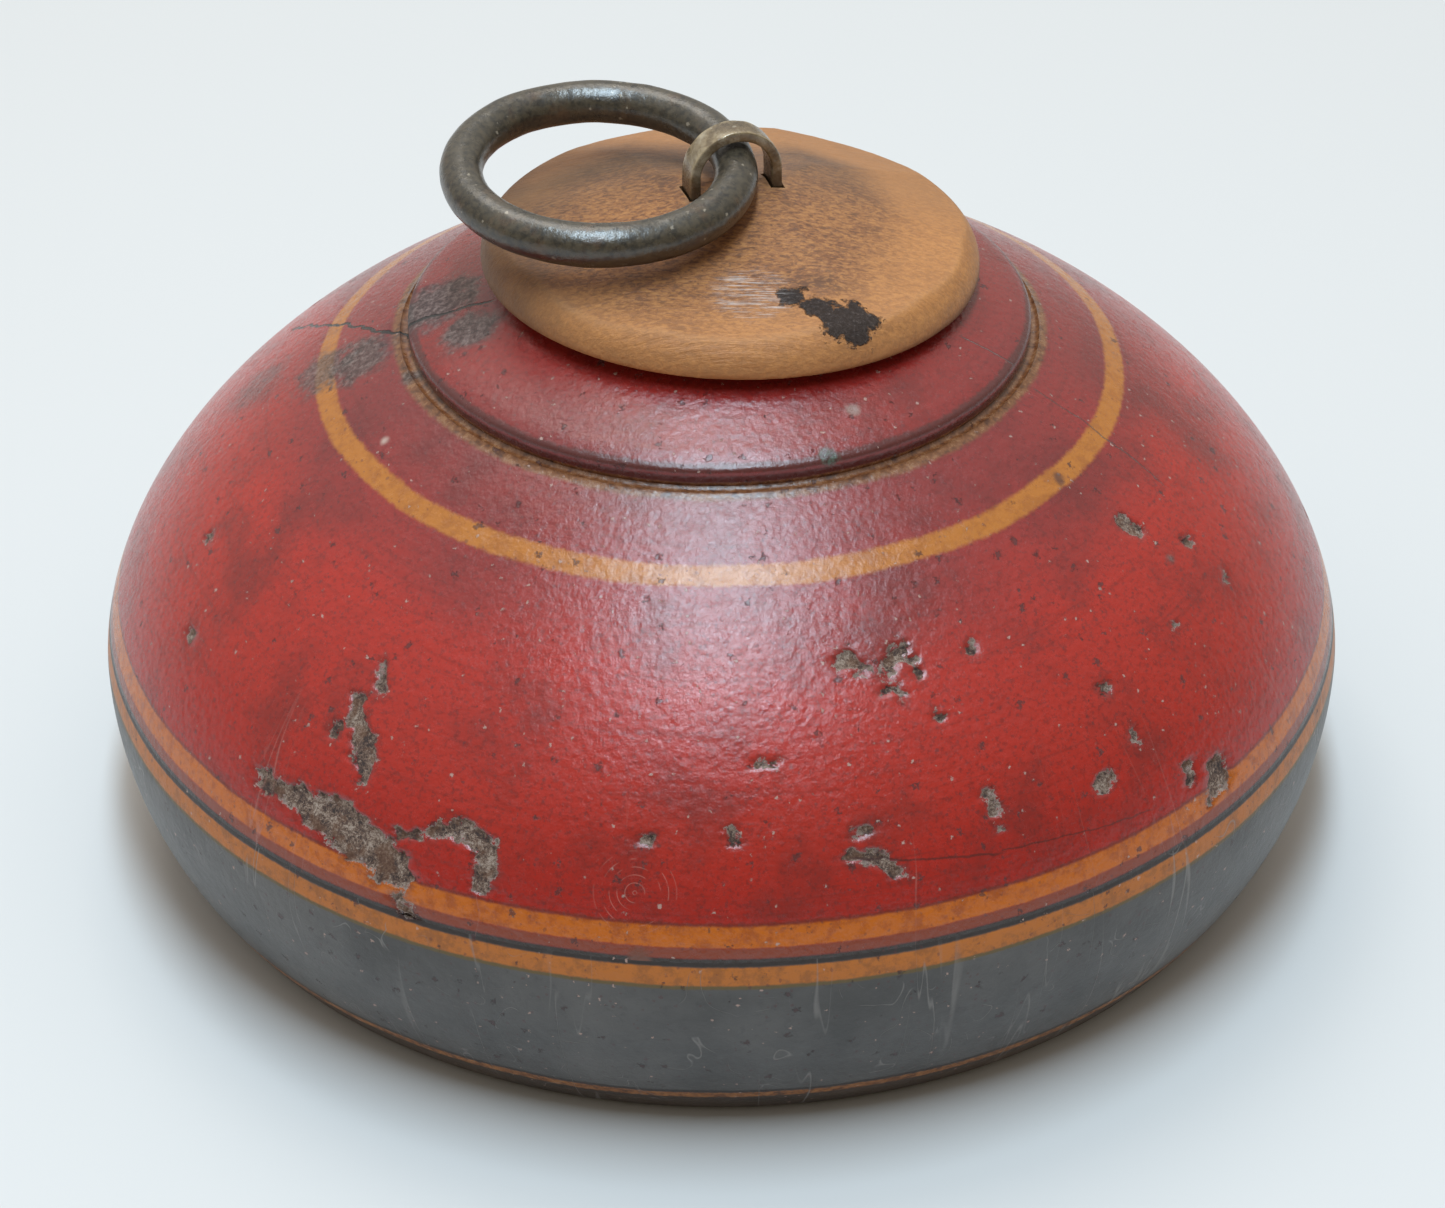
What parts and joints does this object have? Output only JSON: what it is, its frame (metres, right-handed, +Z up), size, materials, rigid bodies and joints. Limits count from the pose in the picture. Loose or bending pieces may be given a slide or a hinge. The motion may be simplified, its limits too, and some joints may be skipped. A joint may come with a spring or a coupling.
{
  "type": "stoppered vessel",
  "caption": "Squat lacquered turned-wood vessel with a flat foot, a carved wooden stopper and a swinging metal pull ring in a strap staple.",
  "frame": {"origin": "centre of the flat foot, on the surface that the vessel stands on", "axes": "+Z up along the turned vessel's axis; -Y is the front that the staple's open side faces; at rest the ring lies towards -X"},
  "size_m": [0.13, 0.13, 0.0771],
  "materials": {
    "red_lacquer": "glossy worn red lacquer on turned wood, with yellow lines and chips",
    "grey_lacquer": "satin slate-grey lacquer on turned wood, with yellow and orange lines",
    "carved_wood": "hand-carved, oiled and worn brown wood",
    "strap_metal": "blackened, rubbed bright on the edges",
    "ring_metal": "dark olive-brown patina, softly polished by handling"
  },
  "bodies": {
    "vessel": {"upper_body": "red_lacquer", "lower_body": "grey_lacquer"},
    "stopper_body": {"stopper": "carved_wood", "staple": "strap_metal"},
    "ring_body": {"ring": "ring_metal"}
  },
  "joints": [
    {"name": "stopper_lift", "type": "slide", "parent": "vessel", "child": "stopper_body", "axis": [0, 0, 1], "range_m": [0, 0.05]},
    {"name": "ring_swing", "type": "hinge", "parent": "stopper_body", "child": "ring_body", "pos_m": [0.00157, 0.00206, 0.07301], "axis": [-0.1597, 0.985, 0.065], "range_deg": [0, 180]}
  ]
}
